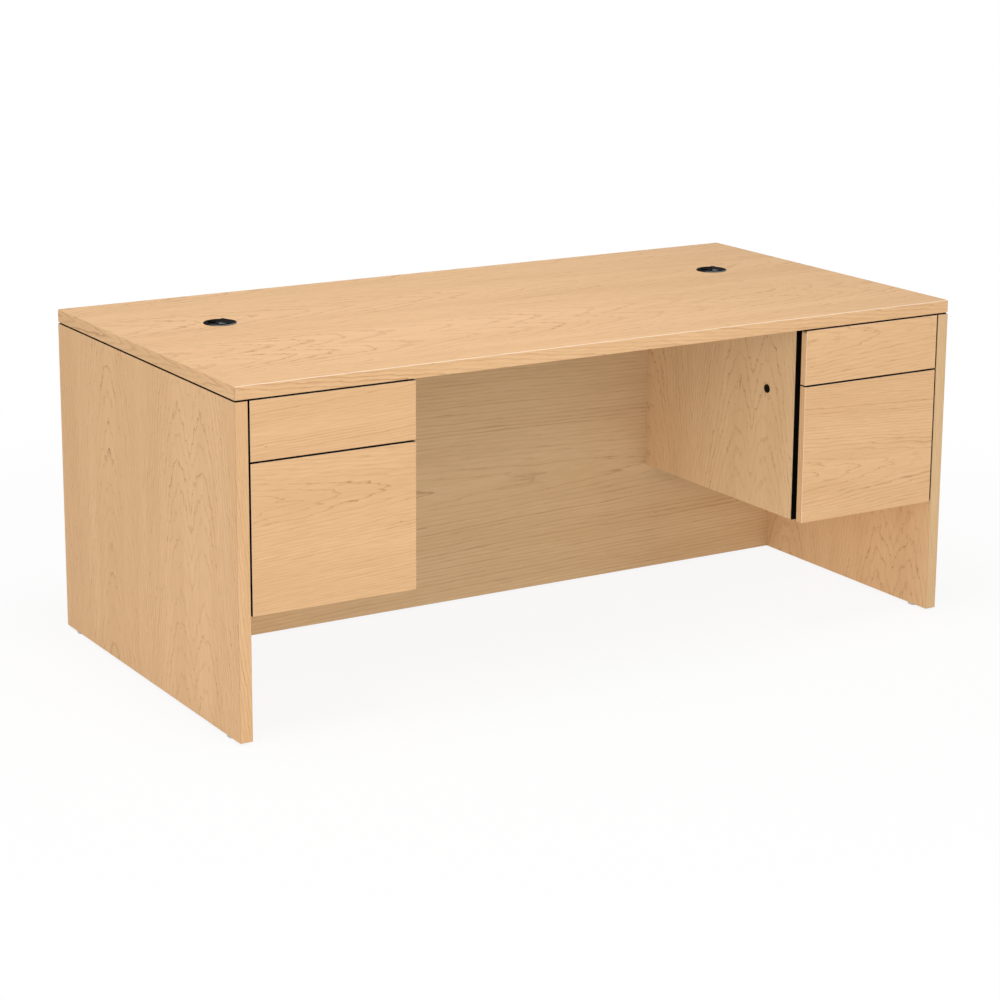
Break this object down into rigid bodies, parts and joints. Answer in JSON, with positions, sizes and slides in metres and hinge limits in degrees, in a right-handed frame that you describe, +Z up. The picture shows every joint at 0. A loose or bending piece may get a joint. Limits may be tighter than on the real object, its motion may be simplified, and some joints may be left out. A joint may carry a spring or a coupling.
{
  "type": "pedestal desk",
  "caption": "Double-pedestal office desk in maple-pattern laminate, with a box drawer over a file drawer in each hanging pedestal, a full modesty panel and turning cable grommets.",
  "frame": {"origin": "on the floor under the middle of the desk's plan", "axes": "+X to the sitter's right along the desk's length, +Y from the drawers to the visitor's side, +Z up"},
  "size_m": [1.829, 0.914, 0.7546],
  "materials": {
    "maple_laminate": "satin",
    "black_moulding": "matte",
    "drawer_vinyl": "satin",
    "hardboard": "matte",
    "zinc_steel": "satin",
    "grey_nylon": "matte",
    "black_lock": "satin"
  },
  "bodies": {
    "frame": {"desk_top": "maple_laminate", "left_end_panel": "maple_laminate", "right_end_panel": "maple_laminate", "modesty_panel": "maple_laminate", "left_reveal_strip": "black_moulding", "right_reveal_strip": "black_moulding", "glide_inserts": "zinc_steel", "top_brackets": "zinc_steel", "lock_housings": "black_lock", "grommet_sleeves": "black_moulding", "left_pedestal_side": "maple_laminate", "left_pedestal_back": "drawer_vinyl", "left_pedestal_bottom": "maple_laminate", "left_finger_channel": "black_moulding", "left_cabinet_slide_members": "zinc_steel", "right_pedestal_side": "maple_laminate", "right_pedestal_back": "drawer_vinyl", "right_pedestal_bottom": "maple_laminate", "right_finger_channel": "black_moulding", "right_cabinet_slide_members": "zinc_steel"},
    "left_box_drawer": {"left_box_drawer_front": "maple_laminate", "left_box_drawer_left_side": "drawer_vinyl", "left_box_drawer_right_side": "drawer_vinyl", "left_box_drawer_back": "drawer_vinyl", "left_box_drawer_bottom": "hardboard", "left_box_drawer_slide_members": "zinc_steel"},
    "left_file_drawer": {"left_file_drawer_front": "maple_laminate", "left_file_drawer_left_side": "drawer_vinyl", "left_file_drawer_right_side": "drawer_vinyl", "left_file_drawer_back": "drawer_vinyl", "left_file_drawer_bottom": "hardboard", "left_file_drawer_slide_members": "zinc_steel", "left_file_drawer_folder_rails": "black_moulding"},
    "left_file_slide_middle": {"left_file_slide_middle_members": "zinc_steel"},
    "left_lock_plug": {"left_lock_plug": "black_lock"},
    "left_lock_bar": {"left_lock_bar": "zinc_steel"},
    "left_grommet_cap": {"left_grommet_cap": "black_moulding"},
    "front_left_glide": {"front_left_glide": "grey_nylon"},
    "back_left_glide": {"back_left_glide": "grey_nylon"},
    "right_box_drawer": {"right_box_drawer_front": "maple_laminate", "right_box_drawer_left_side": "drawer_vinyl", "right_box_drawer_right_side": "drawer_vinyl", "right_box_drawer_back": "drawer_vinyl", "right_box_drawer_bottom": "hardboard", "right_box_drawer_slide_members": "zinc_steel"},
    "right_file_drawer": {"right_file_drawer_front": "maple_laminate", "right_file_drawer_left_side": "drawer_vinyl", "right_file_drawer_right_side": "drawer_vinyl", "right_file_drawer_back": "drawer_vinyl", "right_file_drawer_bottom": "hardboard", "right_file_drawer_slide_members": "zinc_steel", "right_file_drawer_folder_rails": "black_moulding"},
    "right_file_slide_middle": {"right_file_slide_middle_members": "zinc_steel"},
    "right_lock_plug": {"right_lock_plug": "black_lock"},
    "right_lock_bar": {"right_lock_bar": "zinc_steel"},
    "right_grommet_cap": {"right_grommet_cap": "black_moulding"},
    "front_right_glide": {"front_right_glide": "grey_nylon"},
    "back_right_glide": {"back_right_glide": "grey_nylon"}
  },
  "joints": [
    {"name": "left_box_drawer_slide", "type": "slide", "parent": "frame", "child": "left_box_drawer", "axis": [0, -1, 0], "range_m": [0, 0.37]},
    {"name": "left_file_drawer_slide", "type": "slide", "parent": "frame", "child": "left_file_drawer", "axis": [0, -1, 0], "range_m": [0, 0.48]},
    {"name": "left_file_slide_middle_slide", "type": "slide", "parent": "frame", "child": "left_file_slide_middle", "axis": [0, -1, 0], "range_m": [0, 0.24]},
    {"name": "left_lock_turn", "type": "hinge", "parent": "frame", "child": "left_lock_plug", "pos_m": [-0.5039, -0.3156, 0.557], "axis": [1, 0, 0], "range_deg": [0, 90]},
    {"name": "left_lock_bar_lift", "type": "slide", "parent": "frame", "child": "left_lock_bar", "axis": [0, 0, 1], "range_m": [0, 0.00707]},
    {"name": "left_grommet_cap_turn", "type": "hinge", "parent": "frame", "child": "left_grommet_cap", "pos_m": [-0.6645, 0.134, 0.749], "axis": [0, 0, 1], "continuous": true},
    {"name": "front_left_glide_level", "type": "slide", "parent": "frame", "child": "front_left_glide", "axis": [0, 0, -1], "range_m": [0, 0.012]},
    {"name": "back_left_glide_level", "type": "slide", "parent": "frame", "child": "back_left_glide", "axis": [0, 0, -1], "range_m": [0, 0.012]},
    {"name": "right_box_drawer_slide", "type": "slide", "parent": "frame", "child": "right_box_drawer", "axis": [0, -1, 0], "range_m": [0, 0.37]},
    {"name": "right_file_drawer_slide", "type": "slide", "parent": "frame", "child": "right_file_drawer", "axis": [0, -1, 0], "range_m": [0, 0.48]},
    {"name": "right_file_slide_middle_slide", "type": "slide", "parent": "frame", "child": "right_file_slide_middle", "axis": [0, -1, 0], "range_m": [0, 0.24]},
    {"name": "right_lock_turn", "type": "hinge", "parent": "frame", "child": "right_lock_plug", "pos_m": [0.5039, -0.3156, 0.557], "axis": [1, 0, 0], "range_deg": [0, 90]},
    {"name": "right_lock_bar_lift", "type": "slide", "parent": "frame", "child": "right_lock_bar", "axis": [0, 0, 1], "range_m": [0, 0.00707]},
    {"name": "right_grommet_cap_turn", "type": "hinge", "parent": "frame", "child": "right_grommet_cap", "pos_m": [0.6645, 0.134, 0.749], "axis": [0, 0, 1], "continuous": true},
    {"name": "front_right_glide_level", "type": "slide", "parent": "frame", "child": "front_right_glide", "axis": [0, 0, -1], "range_m": [0, 0.012]},
    {"name": "back_right_glide_level", "type": "slide", "parent": "frame", "child": "back_right_glide", "axis": [0, 0, -1], "range_m": [0, 0.012]}
  ],
  "couplings": [
    {"joint": "left_file_slide_middle_slide", "follows": "left_file_drawer_slide", "ratio": 0.5},
    {"joint": "left_lock_turn", "follows": "left_lock_bar_lift", "rad_per_m": 222.14},
    {"joint": "right_file_slide_middle_slide", "follows": "right_file_drawer_slide", "ratio": 0.5},
    {"joint": "right_lock_turn", "follows": "right_lock_bar_lift", "rad_per_m": 222.14}
  ]
}
